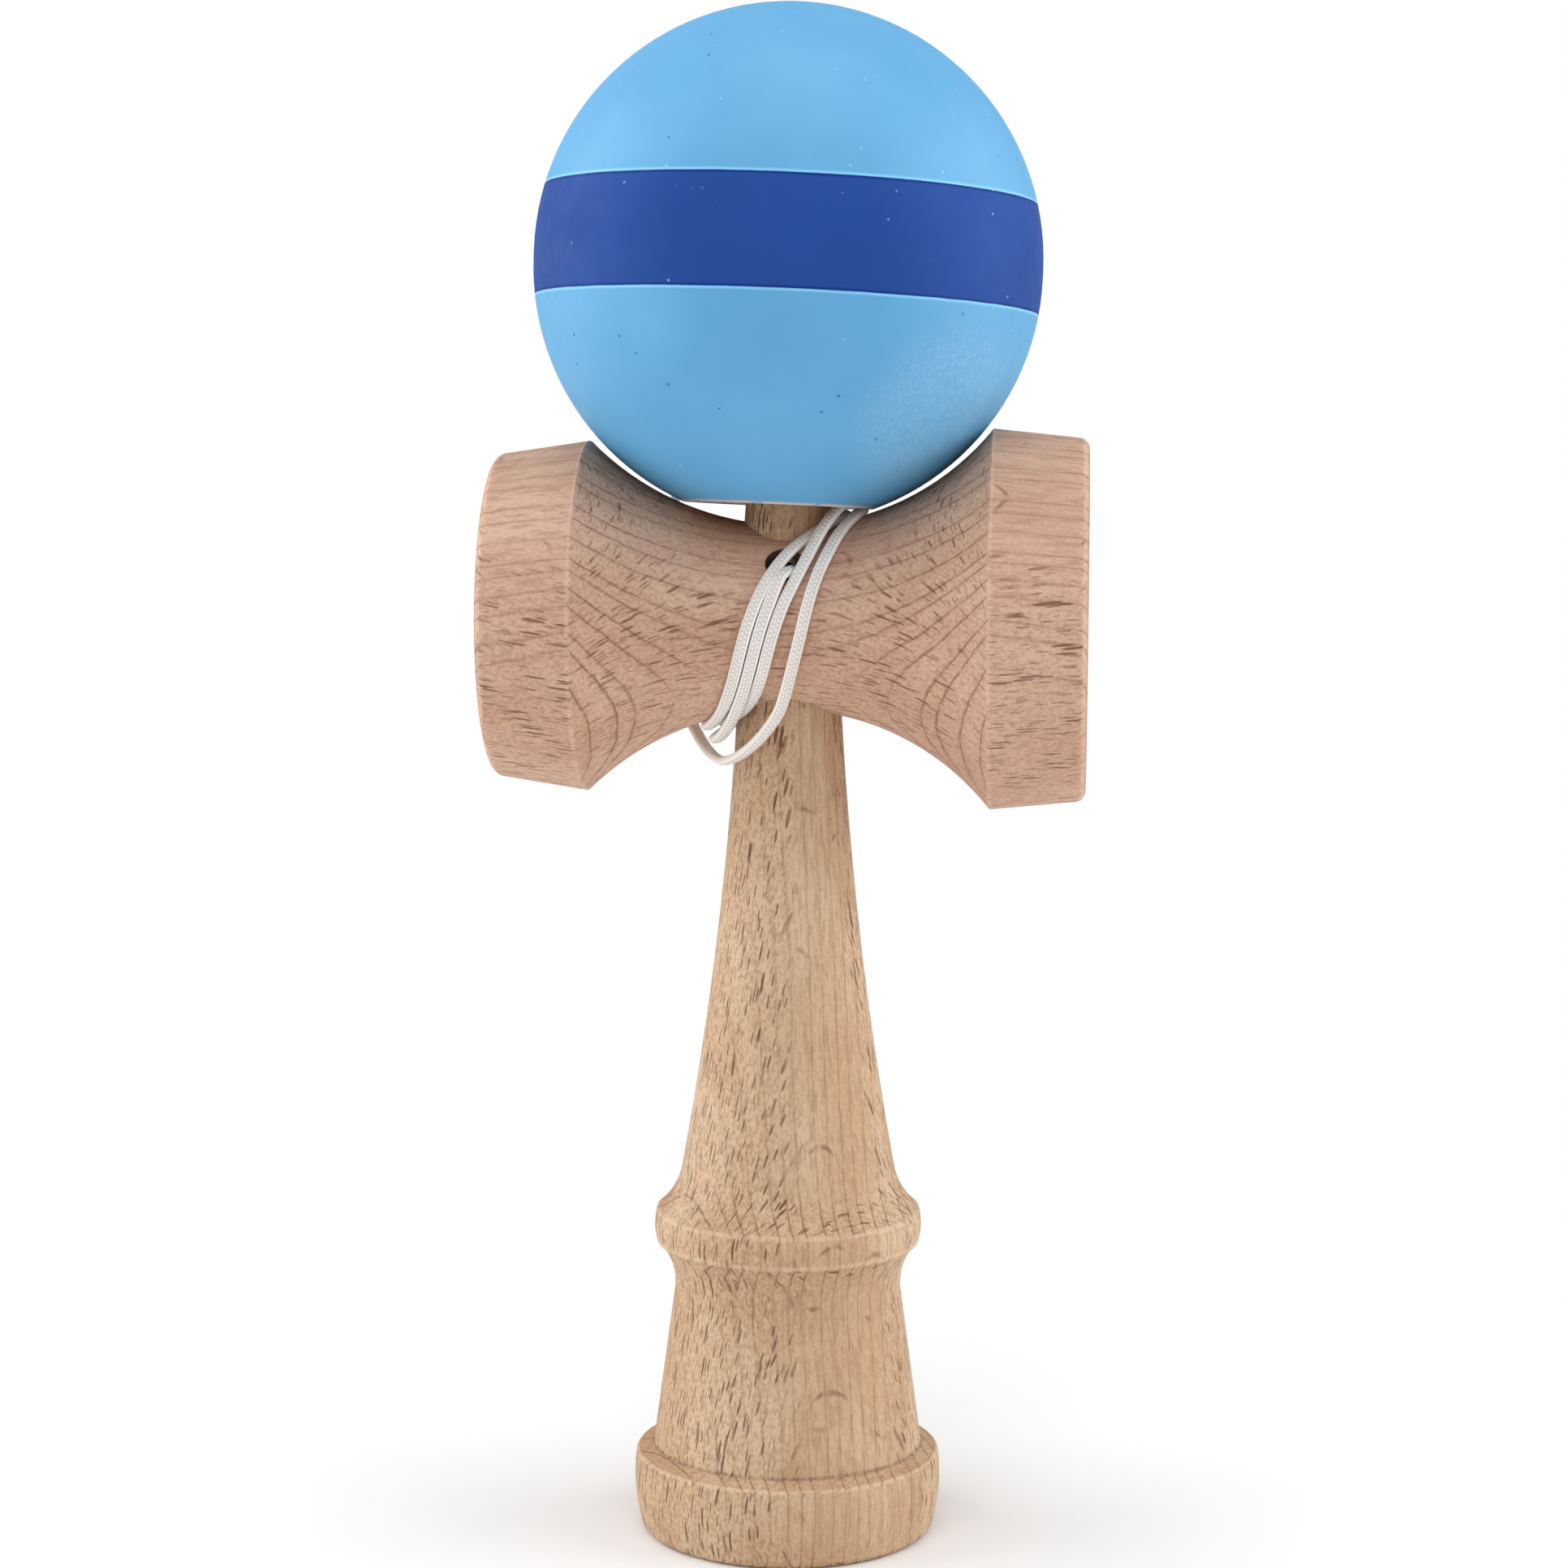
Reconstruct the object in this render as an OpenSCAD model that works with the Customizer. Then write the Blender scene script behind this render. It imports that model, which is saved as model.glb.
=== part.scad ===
// Kendama: a turned handle that ends in a base cup and a spike, a crosspiece with
// two cups, a drilled and painted ball that sits over the spike, and their string.
// The handle stands on the rim of its base cup and its axis is Z. The crosspiece
// lies along X with its big cup at +X, and its string port faces the front, -Y.

/* [Handle] */
// Overall length of the handle, foot to tip
handle_l = 160; // [157:0.5:161]
// Outer diameter of the flat ring that the handle stands on
foot_d = 33.4; // [32:0.1:34.4]
// Height of the rounding from the foot ring to the base's side
foot_round = 1.3; // [0.8:0.1:2]
// Diameter of the base's side at its lower end
base_low_d = 35.8; // [35:0.1:36.6]
// Diameter of the base's side at its upper end
base_top_d = 36.9; // [36.2:0.1:38]
// Bulge of the base's side
base_bulge = 0.4; // [0.2:0.05:0.8]
// Height of the base's upper edge
base_h = 9.9; // [8.5:0.1:11]
// Rounding of the base's upper edge
base_edge_round = 0.6; // [0.3:0.1:1]
// Diameter of the body where it meets the ledge on the base
ledge_d = 32.6; // [31:0.1:34]
// Rise of the ledge from the base's edge to the body
ledge_rise = 0.75; // [0.3:0.05:1.2]
// Diameter of the body's narrow end
body_top_d = 27.4; // [26:0.1:29]
// Height of the body's narrow end
body_top_z = 29.9; // [28:0.1:31]
// Diameter of the ring's edges
ring_d = 31.8; // [30.5:0.1:33]
// Height of the ring's lower edge
ring_z = 36; // [35:0.1:37]
// Height of the ring's face
ring_h = 3.7; // [3:0.1:4.5]
// Bulge of the ring's face
ring_bulge = 0.25; // [0.1:0.05:0.5]
// Rounding of the ring's lower edge
ring_round = 0.5; // [0.2:0.1:0.8]
// Hollow of the coves above and below the ring
cove_hollow = 0.55; // [0.3:0.05:0.8]
// Diameter of the grip's lower end
grip_d = 25.7; // [24:0.1:27]
// Height of the grip's lower end
grip_z = 44.9; // [43:0.1:47]
// Hollow of the long grip
grip_hollow = 0.85; // [0.3:0.05:1.2]
// Diameter of the handle at the lower end of the crosspiece's seat
seat_low_d = 12.6; // [12.4:0.1:13]
// Diameter of the handle at the upper end of the crosspiece's seat
seat_top_d = 10.7; // [10:0.1:10.8]
// Diameter of the spike where its round tip begins
tip_d = 5.8; // [5:0.1:6.4]
// Length of the spike's round tip
tip_l = 2; // [1.5:0.1:2.8]
// Bulge of the tip's side
tip_bulge = 0.65; // [0.4:0.05:0.8]
// Diameter of the base cup's mouth
base_cup_d = 29.4; // [27:0.1:31]
// Depth of the base cup
base_cup_depth = 5.5; // [4.6:0.1:7]
// Diameter of the string hole through the handle
string_hole_d = 2.4; // [1.8:0.1:3]
// Height of that hole above the crosspiece's axis
string_hole_rise = 5.8; // [5:0.1:6.5]
// Diameter of the knot's pocket at the back of the hole
pocket_d = 4.2; // [3.8:0.1:4.8]
// Distance of the pocket's floor behind the handle's axis
pocket_floor = 2.3; // [1.8:0.1:2.4]

/* [Crosspiece] */
// Height of the crosspiece's axis above the foot
cross_z = 111.4; // [110.5:0.1:112.5]
// Diameter of the waist
waist_d = 21.9; // [21.4:0.1:22.4]
// Distance of the big cup's rim from the handle's axis
big_rim_x = 35.3; // [33:0.1:38]
// Diameter of the big cup's rim
big_rim_d = 43; // [41:0.1:44.6]
// Distance of the big cup's sharp edge from the handle's axis
big_edge_x = 24; // [23.5:0.1:25]
// Diameter of the big cup's sharp edge
big_edge_d = 45; // [44:0.1:46]
// Depth of the big cup
big_cup_depth = 8; // [6:0.1:9]
// Distance of the small cup's rim from the handle's axis
small_rim_x = 35; // [33:0.1:38]
// Diameter of the small cup's rim
small_rim_d = 38.6; // [37:0.1:41]
// Distance of the small cup's sharp edge from the handle's axis
small_edge_x = 23.9; // [23.5:0.1:25]
// Diameter of the small cup's sharp edge
small_edge_d = 41.6; // [41:0.1:42.6]
// Depth of the small cup
small_cup_depth = 6.5; // [5:0.1:8]
// Rounding of both rims
rim_round = 1.3; // [0.6:0.1:2]
// Width of the flat lip inside each rounding
lip_w = 0.8; // [0.4:0.1:1.5]
// Diameter of the string port in the waist
port_d = 4.5; // [4:0.1:5]
// Rise of the port's axis above the level, in degrees
port_rise = 40; // [36:1:44]

/* [Ball] */
// Diameter of the ball
ball_d = 60; // [59:0.1:60.2]
// Height of the straight band round the ball's middle
ball_band = 1; // [0.4:0.1:1.4]
// Diameter of the hole's mouth
mouth_d = 22.5; // [22:0.1:23]
// Width of the bevel round the mouth
mouth_bevel = 0.8; // [0.4:0.1:1]
// Diameter of the hole at its closed end
hole_end_d = 14; // [13:0.1:16]
// Depth of the hole
hole_depth = 39; // [38:0.1:40]
// Diameter of the bead's room above the hole
room_d = 10; // [9.2:0.1:11]
// Height of the bead's room
room_h = 6; // [5:0.1:7]
// Height of the bead's conical seat
seat_h = 3.5; // [3:0.1:4.5]
// Diameter of the string hole at the top
top_hole_d = 3.2; // [2.6:0.1:4]
// Diameter of the string hole's countersink
sink_d = 9.5; // [8.5:0.1:10]
// Depth of the countersink below the ball's crown
sink_depth = 2.6; // [2.4:0.1:3]
// Lean of the resting ball towards the big cup, in degrees
ball_side_lean = 2; // [1:0.1:3]
// Lean of the resting ball to the back, in degrees
ball_back_lean = 4.3; // [3.5:0.1:4.8]
// Shift of the resting ball's mouth towards the small cup
mouth_shift = 1.4; // [1:0.1:1.6]
// Gap between the resting ball's mouth and the crosspiece
ball_gap = 0.3; // [0.2:0.05:0.6]

/* [String] */
// Diameter of the string
cord_d = 1.3; // [1.1:0.05:1.4]
// Pitch of the strands that lie side by side on the waist
strand_pitch = 1.92; // [1.85:0.01:2]
// Gap between the strands and the waist
strand_ride = 0.16; // [0.12:0.02:0.3]
// Place of the strands' middle along X where they pass the spike
wrap_top_x = 7.6; // [7.5:0.05:7.7]
// Place of the strands' middle along X where they pass the grip
wrap_low_x = -8.9; // [-9.2:0.05:-8.8]
// Bow of the strands towards the small cup at the front
wrap_bow = 1.8; // [1:0.1:2]
// Diameter of the bead inside the ball
bead_d = 7.6; // [7:0.1:8]
// Diameter of the bead's hole
bead_hole_d = 2; // [1.7:0.1:2.4]
// Gap between the bead and its seat's inner edge
bead_gap = 0.4; // [0.3:0.05:1]
// Diameter of the knots at the string's ends
knot_d = 3.4; // [2.8:0.1:3.6]
// Length of the knots
knot_l = 2.8; // [2.4:0.1:3.2]

/* [Hidden] */

beech = [0.80, 0.66, 0.50];
pale_beech = [0.76, 0.62, 0.49];
light_blue = [0.42, 0.72, 0.92];
cream = [0.92, 0.90, 0.87];

// Overrun of every cut past the face that it opens
cut = 2;
turn_steps = 160;
arc_steps = 8;
long_arc_steps = 24;
// Depth of a rounded corner's arc over its chord, close to a quarter circle's
arc_bulge_share = 0.2;

// Crosspiece
waist_r = waist_d / 2;
seat_over = 1;
seat_low_z = cross_z - waist_r - seat_over;
seat_top_z = cross_z + waist_r + seat_over;
big_saddle_r = arc_radius(big_edge_x, big_edge_d / 2 - waist_r);
small_saddle_r = arc_radius(small_edge_x, small_edge_d / 2 - waist_r);

// Ball: the mouth rests on the saddle at both sides of the spike
ball_r = ball_d / 2;
half_band = ball_band / 2;
mouth_r = mouth_d / 2;
mouth_drop = half_band + sqrt(pow(ball_r, 2) - pow(mouth_r, 2));
mouth_reach = mouth_r * cos(ball_side_lean);
mouth_tilt = mouth_r * sin(ball_side_lean);
mouth_z = cross_z + ball_gap
    + max(saddle(-mouth_shift - mouth_reach) - mouth_tilt, saddle(mouth_reach - mouth_shift) + mouth_tilt);
ball_axis = [cos(ball_back_lean) * sin(ball_side_lean), sin(ball_back_lean),
    cos(ball_back_lean) * cos(ball_side_lean)];
ball_centre = [-mouth_shift, 0, mouth_z] + mouth_drop * ball_axis;
crown_z = ball_r + half_band;
hole_end_z = hole_depth - mouth_drop;
room_top_z = hole_end_z + room_h;
seat_end_z = room_top_z + seat_h;
sink_low_z = crown_z - sink_depth;
sink_top_z = half_band + sqrt(pow(ball_r, 2) - pow(sink_d / 2, 2));

// Bead and knots: the bead hangs below its conical seat on the knot
seat_half_angle = atan2((room_d - top_hole_d) / 2, seat_h);
bead_drop = (bead_d / 2 + bead_gap) / sin(seat_half_angle) - top_hole_d / 2 / tan(seat_half_angle);
bead_z = seat_end_z - bead_drop;
bead_face = sqrt(pow(bead_d / 2, 2) - pow(bead_hole_d / 2, 2));
tama_knot_top_z = bead_z - bead_face;
tail_top_z = sink_low_z - 2 * cord_d;
knot_end_share = 0.55;
knot_z = cross_z + string_hole_rise;

// Shares that shape the strands round the waist
round_share = 0.97;
peak_power = 1.5;
straight_share = 0.62;
close_share = 0.5;
front_share = 0.84;
back_share = 1.3;
lift_share = 0.95;
widen_share = 2.05;
close_limits = [0.12, 0.78];
lift_limits = [0.2, 0.95];
full_turn = 360;
wrap_start = 80;
wrap_end = 3 * full_turn + 112;
rings_per_turn = 24;
wrap_sides = 6;
cord_sides = 8;
cord_steps = 2;
gap_step = 3;
gap_apart = 90;

// Route of the string where it isn't wound, from the crosspiece's centre and in the order that it runs
lead_points = [[0, pocket_floor, string_hole_rise], [0, 0, string_hole_rise], [0, -2.8, string_hole_rise],
    [0, -5, 5.8], [0.5, -6.8, 6.2], [0.6, -8.6, 6.3], [0.2, -9.8, 6.1], [-0.4, -10.7, 5.5]];
hang_points = [[-0.2, -9.4, -9.4], [-1.8, -8.5, -12.2], [-3.9, -6.9, -14.6], [-6.1, -4.7, -16.3],
    [-8, -1.7, -17], [-9.7, 1.4, -16.4], [-11.3, 4.6, -14.9], [-12.8, 7.9, -12.8], [-14, 11.3, -9.8],
    [-15, 14.05, -6.6], [-15.4, 15, -4.4], [-15.6, 15.35, -3], [-15.793, 15.688, -1.65]];
rise_points = [[-15.8, 15.7, -1.6], [-15.96, 15.98, -0.48], [-16.3, 17, 3.7], [-16.2, 19, 9.5],
    [-15.3, 21.9, 16], [-13.9, 25.2, 22.5], [-12.2, 29, 29.5], [-10.4, 31.8, 37.5], [-8.6, 32.3, 45.5],
    [-6.7, 30.4, 53.5], [-5, 26.3, 61.1], [-3.4, 20.8, 66.7], [-2.1, 16.4, 69.5], [-0.9, 11.4, 71.6],
    [-0.3, 8.9, 72.1], [0.1, 6.8, 71.2], [0.5, 4.7, 69.6]];

function from_cross(pts) = [for (p = pts) p + [0, 0, cross_z]];

// Radius of the arc through a saddle's waist and its edge
function arc_radius(reach, rise) = (pow(reach, 2) + pow(rise, 2)) / (2 * rise);

// Radius of the crosspiece between its sharp edges, at a place along X
function saddle(x) = let (r = x > 0 ? big_saddle_r : small_saddle_r)
    waist_r + r - sqrt(pow(r, 2) - pow(x, 2));

// Points of an arc from p to q, which bulges to the right of its travel if bulge is positive
function bow(p, q, bulge, steps) =
    let (
        run = q - p,
        span = norm(run),
        depth = abs(bulge),
        r = arc_radius(span / 2, depth),
        out = [run.y, -run.x] / span * sign(bulge),
        middle = (p + q) / 2 - out * (r - depth),
        half = asin(span / 2 / r)
    )
    [for (i = [1 : steps]) let (a = half * (2 * i / steps - 1))
        middle + out * r * cos(a) + run / span * r * sin(a)];

// Step from 0 to 1 with soft ends, between the values a and b
function ease(v, a, b) = let (t = min(1, max(0, (v - a) / (b - a)))) t * t * (3 - 2 * t);

function unit(v) = v / norm(v);

function wrap_openness(a) = ease(abs(sin(a)), close_limits[0], close_limits[1]);

// Half the width of the three strands side by side at angle a
function strand_spread(a) = strand_pitch
    * (close_share + ((sin(a) > 0 ? front_share : back_share) - close_share) * wrap_openness(a));

// Place along X of the strands' middle: right of the spike at the top, left of the grip below
function wrap_middle(a) =
    let (
        u = asin(round_share * cos(a)) / asin(round_share),
        shape = sin(a) > 0 ? straight_share * u + (1 - straight_share) * pow(u, 3)
            : sign(u) * pow(abs(u), peak_power)
    )
    (wrap_top_x + wrap_low_x) / 2 + (wrap_top_x - wrap_low_x) / 2 * shape
        - wrap_bow * pow(max(0, sin(a)), 2);

// Which place a strand holds at angle a of the whole winding: -1 left, 0 middle, 1 right
function strand_slot(a) = ease(a, full_turn + 205, full_turn + 290) - ease(a, 205, 290)
    + ease(a, 2 * full_turn + 10, 2 * full_turn + 68)
    + widen_share * ease(a, 3 * full_turn - 15, 3 * full_turn + 105);

// Height of a strand over the others, in the middle and where one crosses at the back
function strand_lift(a) =
    let (
        stacked = lift_share * (1 - ease(abs(sin(a)), lift_limits[0], lift_limits[1])),
        middle = stacked * (1 - pow(min(1, abs(strand_slot(a))), 2)),
        crossing = ease(a, 180, 215) * (1 - ease(a, 278, 322))
    )
    strand_pitch * (middle * (1 - crossing) + crossing);

// Point of the winding at angle a: 0 is over the waist, 90 at the front, 180 below
function wrap_point(a) =
    let (
        x = wrap_middle(a) + strand_spread(a) * strand_slot(a),
        r = saddle(x) + cord_d / 2 + strand_ride + strand_lift(a)
    )
    [x, -r * sin(a), cross_z + r * cos(a)];

function wrap_direction(a) = unit(wrap_point(a + 0.5) - wrap_point(a - 0.5));

// Rounded route through a list of points, with the given steps from each to the next
function smooth_route(pts, steps) =
    let (
        last = len(pts) - 1,
        ends = concat([2 * pts[0] - pts[1]], pts, [2 * pts[last] - pts[last - 1]])
    )
    concat([for (i = [0 : last - 1], j = [0 : steps - 1])
        let (t = j / steps, a = ends[i], b = ends[i + 1], c = ends[i + 2], d = ends[i + 3])
        (2 * b + (c - a) * t + (2 * a - 5 * b + 4 * c - d) * pow(t, 2)
            + (3 * b - a - 3 * c + d) * pow(t, 3)) / 2],
        [pts[last]]);

function route_length(pts) = len(pts) < 2 ? 0
    : [for (i = 1, sum = norm(pts[1] - pts[0]); i < len(pts); i = i + 1,
        sum = sum + (i < len(pts) ? norm(pts[i] - pts[i - 1]) : 0)) sum][len(pts) - 2];

function directions(pts) = let (last = len(pts) - 1)
    [for (i = [0 : last]) unit(pts[min(last, i + 1)] - pts[max(0, i - 1)])];

// Normals carried along a route without twist, starting from a first one
function carried_normals(dirs, first) = [for (i = 0, n = unit(first - (first * dirs[0]) * dirs[0]);
    i < len(dirs); i = i + 1,
    n = let (d = dirs[min(i, len(dirs) - 1)]) unit(n - (n * d) * d)) n];

function ring_points(centre, dir, normal, sides) = let (other = cross(dir, normal))
    [for (k = [0 : sides - 1]) let (a = full_turn * k / sides)
        centre + cord_d / 2 * (cos(a) * normal + sin(a) * other)];

wrap_count = round((wrap_end - wrap_start) / full_turn * rings_per_turn);
wrap_angles = [for (i = [0 : wrap_count]) wrap_start + (wrap_end - wrap_start) * i / wrap_count];
wrap_in = wrap_point(wrap_start) - cord_d * wrap_direction(wrap_start);
wrap_out = wrap_point(wrap_end) + cord_d * wrap_direction(wrap_end);
wrap_route = concat([wrap_in], [for (a = wrap_angles) wrap_point(a)], [wrap_out]);
lead_route = smooth_route(concat(from_cross(lead_points),
    [wrap_in - cord_d * wrap_direction(wrap_start), wrap_in]), cord_steps);
hang_route = smooth_route(concat([wrap_out, wrap_out + cord_d * wrap_direction(wrap_end)],
    from_cross(hang_points)), cord_steps);
tail_top = ball_centre + tail_top_z * ball_axis;
rise_route = smooth_route(concat(from_cross(rise_points), [tail_top + cord_d * ball_axis, tail_top]),
    cord_steps);

// Least gap between two strands of the winding, measured on its centre line
gap_points = [for (a = [wrap_start : gap_step : wrap_end]) wrap_point(a)];
least_gap = min([for (i = [0 : len(gap_points) - 1])
    for (j = [i + gap_apart / gap_step : len(gap_points) - 1]) norm(gap_points[i] - gap_points[j])]) - cord_d;
string_length = route_length(lead_route) + route_length(wrap_route) + route_length(hang_route)
    + route_length(rise_route) + tail_top_z - tama_knot_top_z;
echo(str("least gap of the winding to itself: ", least_gap));
echo(str("length of the string between its knots: ", string_length));

// Tube along a route, closed at both ends
module cord(route, normals, sides) {
    dirs = directions(route);
    last = len(route) - 1;
    points = [for (i = [0 : last]) each ring_points(route[i], dirs[i], normals[i], sides)];
    walls = [for (i = [0 : last - 1], k = [0 : sides - 1])
        let (a = i * sides + k, b = i * sides + (k + 1) % sides)
        each [[a, a + sides, b], [b, a + sides, b + sides]]];
    first_cap = [for (k = [1 : sides - 2]) [0, k, k + 1]];
    from = last * sides;
    last_cap = [for (k = [1 : sides - 2]) [from, from + k + 1, from + k]];
    polyhedron(points, concat(walls, first_cap, last_cap));
}

module free_cord(route, first) {
    color(cream) cord(route, carried_normals(directions(route), first), cord_sides);
}

// Knot along Z with flat ends, wider in its middle
module knot() {
    end_r = knot_end_share * knot_d / 2;
    side = bow([end_r, 0], [end_r, knot_l], knot_d / 2 - end_r, arc_steps);
    rotate_extrude($fn = turn_steps) polygon(concat([[0, 0], [end_r, 0]], side, [[0, knot_l]]));
}

module in_ball_frame() {
    translate(ball_centre) rotate([-ball_back_lean, ball_side_lean, 0]) children();
}

// Sphere that cuts a cup with the given mouth and depth into a face at Z = 0, from above
module dish(mouth, depth) {
    r = arc_radius(mouth / 2, depth);
    translate([0, 0, r - depth]) sphere(r = r, $fn = turn_steps);
}

// Turned outline of the handle, from the foot up to the tip
function handle_outline() =
    let (
        foot = [foot_d / 2, 0],
        base_low = [base_low_d / 2, foot_round],
        base_top = [base_top_d / 2, base_h - base_edge_round],
        base_edge = [base_top_d / 2 - base_edge_round, base_h],
        ledge = [ledge_d / 2, base_h + ledge_rise],
        body_top = [body_top_d / 2, body_top_z],
        ring_under = [ring_d / 2 - ring_round, ring_z - ring_round],
        ring_low = [ring_d / 2, ring_z],
        ring_top = [ring_d / 2, ring_z + ring_h],
        grip = [grip_d / 2, grip_z],
        seat_low = [seat_low_d / 2, seat_low_z],
        seat_top = [seat_top_d / 2, seat_top_z],
        tip = [tip_d / 2, handle_l - tip_l],
        edge_bulge = arc_bulge_share * norm([base_edge_round, base_edge_round]),
        under_bulge = arc_bulge_share * norm([ring_round, ring_round]),
        foot_bulge = arc_bulge_share * norm(base_low - foot)
    )
    concat([[0, 0], foot], bow(foot, base_low, foot_bulge, arc_steps),
        bow(base_low, base_top, base_bulge, arc_steps), bow(base_top, base_edge, edge_bulge, arc_steps),
        [ledge, body_top], bow(body_top, ring_under, -cove_hollow, arc_steps),
        bow(ring_under, ring_low, under_bulge, arc_steps), bow(ring_low, ring_top, ring_bulge, arc_steps),
        bow(ring_top, grip, -cove_hollow, arc_steps), bow(grip, seat_low, -grip_hollow, long_arc_steps),
        [seat_top], [tip], bow(tip, [0, handle_l], tip_bulge, arc_steps));

module ken() {
    color(beech) difference() {
        rotate_extrude($fn = turn_steps) polygon(handle_outline());
        mirror([0, 0, 1]) dish(base_cup_d, base_cup_depth);
        translate([0, pocket_floor + cut, knot_z]) rotate([90, 0, 0])
            cylinder(d = string_hole_d, h = pocket_floor + cut + seat_low_d / 2, $fn = turn_steps);
        translate([0, pocket_floor, knot_z]) rotate([-90, 0, 0])
            cylinder(d = pocket_d, h = seat_low_d / 2, $fn = turn_steps);
    }
}

// One half of the crosspiece, turned about Z with its cup at the top
module cup_half(edge_x, edge_d, rim_x, rim_d, saddle_r, depth) {
    edge = [edge_d / 2, edge_x];
    rim_side = [rim_d / 2, rim_x - rim_round];
    rim_face = [rim_d / 2 - rim_round, rim_x];
    past_edge = edge + cut * unit(edge - rim_side);
    rim_bulge = arc_bulge_share * norm(rim_face - rim_side);
    difference() {
        rotate_extrude($fn = turn_steps) difference() {
            polygon(concat([[0, 0], [past_edge.x, 0], past_edge, rim_side],
                bow(rim_side, rim_face, rim_bulge, arc_steps), [[0, rim_x]]));
            translate([waist_r + saddle_r, 0]) circle(r = saddle_r, $fn = turn_steps);
        }
        translate([0, 0, rim_x]) dish(rim_d - 2 * (rim_round + lip_w), depth);
    }
}

module sarado() {
    seat_slope = (seat_low_d - seat_top_d) / (seat_top_z - seat_low_z);
    color(pale_beech) difference() {
        translate([0, 0, cross_z]) {
            rotate([0, 90, 0])
                cup_half(big_edge_x, big_edge_d, big_rim_x, big_rim_d, big_saddle_r, big_cup_depth);
            rotate([0, -90, 0])
                cup_half(small_edge_x, small_edge_d, small_rim_x, small_rim_d, small_saddle_r,
                    small_cup_depth);
        }
        translate([0, 0, seat_low_z - cut])
            cylinder(d1 = seat_low_d + cut * seat_slope, d2 = seat_top_d - cut * seat_slope,
                h = seat_top_z - seat_low_z + 2 * cut, $fn = turn_steps);
        translate([0, 0, cross_z]) rotate([90 - port_rise, 0, 0])
            cylinder(d = port_d, h = waist_r + cut, $fn = turn_steps);
    }
}

// Half outline of the ball with its hole, the bead's room and the string hole
module ball_outline() {
    hole_side = [mouth_r - mouth_bevel, mouth_bevel - mouth_drop];
    sink_out = unit([sink_d / 2 - top_hole_d / 2, sink_top_z - sink_low_z]);
    difference() {
        union() {
            intersection() {
                translate([0, half_band]) circle(r = ball_r, $fn = turn_steps);
                square(ball_d);
            }
            translate([0, -half_band]) square([ball_r, ball_band]);
            intersection() {
                translate([0, -half_band]) circle(r = ball_r, $fn = turn_steps);
                translate([0, -ball_d]) square(ball_d);
            }
        }
        polygon([[-cut, -crown_z - cut], [mouth_r + cut, -mouth_drop - cut], hole_side,
            [hole_end_d / 2, hole_end_z], [room_d / 2, hole_end_z], [room_d / 2, room_top_z],
            [top_hole_d / 2, seat_end_z], [top_hole_d / 2, sink_low_z],
            [sink_d / 2, sink_top_z] + cut * sink_out, [-cut, crown_z + cut]]);
    }
}

module tama() {
    color(light_blue) in_ball_frame() rotate_extrude($fn = turn_steps) ball_outline();
}

module string_bead() {
    color(beech) in_ball_frame() translate([0, 0, bead_z]) difference() {
        sphere(d = bead_d, $fn = turn_steps);
        translate([0, 0, -bead_d]) cylinder(d = bead_hole_d, h = 2 * bead_d, $fn = turn_steps);
    }
}

module string_ken_knot() {
    color(cream) translate([0, pocket_floor, knot_z]) rotate([-90, 0, 0]) knot();
}

module string_lead() {
    free_cord(lead_route, [1, 0, 0]);
}

module string_wraps() {
    dirs = directions(wrap_route);
    radial = [for (p = wrap_route) [0, p.y, p.z - cross_z]];
    normals = [for (i = [0 : len(dirs) - 1]) unit(radial[i] - (radial[i] * dirs[i]) * dirs[i])];
    color(cream) cord(wrap_route, normals, wrap_sides);
}

module string_hang() {
    free_cord(hang_route, [1, 0, 0]);
}

module string_rise() {
    free_cord(rise_route, [1, 0, 0]);
}

module string_tail() {
    color(cream) in_ball_frame() translate([0, 0, tama_knot_top_z])
        cylinder(d = cord_d, h = tail_top_z - tama_knot_top_z, $fn = turn_steps);
}

module string_tama_knot() {
    color(cream) in_ball_frame() translate([0, 0, tama_knot_top_z - knot_l]) knot();
}

ken();
sarado();
tama();
string_bead();
string_ken_knot();
string_lead();
string_wraps();
string_hang();
string_rise();
string_tail();
string_tama_knot();
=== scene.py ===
import math
import bpy
from mathutils import Matrix, Vector


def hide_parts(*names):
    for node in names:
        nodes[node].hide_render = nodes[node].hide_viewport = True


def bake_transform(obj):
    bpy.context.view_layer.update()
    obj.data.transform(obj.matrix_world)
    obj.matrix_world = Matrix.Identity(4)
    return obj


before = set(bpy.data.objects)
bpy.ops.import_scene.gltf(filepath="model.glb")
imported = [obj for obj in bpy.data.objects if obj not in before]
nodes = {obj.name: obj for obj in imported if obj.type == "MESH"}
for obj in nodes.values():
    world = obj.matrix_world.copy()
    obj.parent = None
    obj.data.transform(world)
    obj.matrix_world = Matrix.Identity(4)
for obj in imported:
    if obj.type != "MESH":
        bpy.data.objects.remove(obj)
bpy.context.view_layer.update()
scene = bpy.context.scene
MM = 0.001

# Camera, fitted to the photograph: place in metres, turns in radians, focal length in pixels of the photograph.
CAM_AT = Vector((0.03266, -0.4400, 0.1510))
CAM_PITCH, CAM_YAW, CAM_ROLL = -0.1342, 0.0755, -0.0025
FOCAL_LENGTH, PHOTO_W = 4587.3, 1932
SENSOR_W = 36
NEAREST = 0.01

# Sizes shared with the part's source, in millimetres.
CROSS = Vector((0, 0, 111.4))
WAIST_R = 10.95
PORT_AXIS, PORT_R = Vector((0, -0.766, 0.643)), 2.25
BALL_AXIS = Vector((0.0348013, 0.0749787, 0.9965777))
BALL_AT = Vector((-0.41475, 2.1227, 152.916))
PITCH = 1.92
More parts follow.
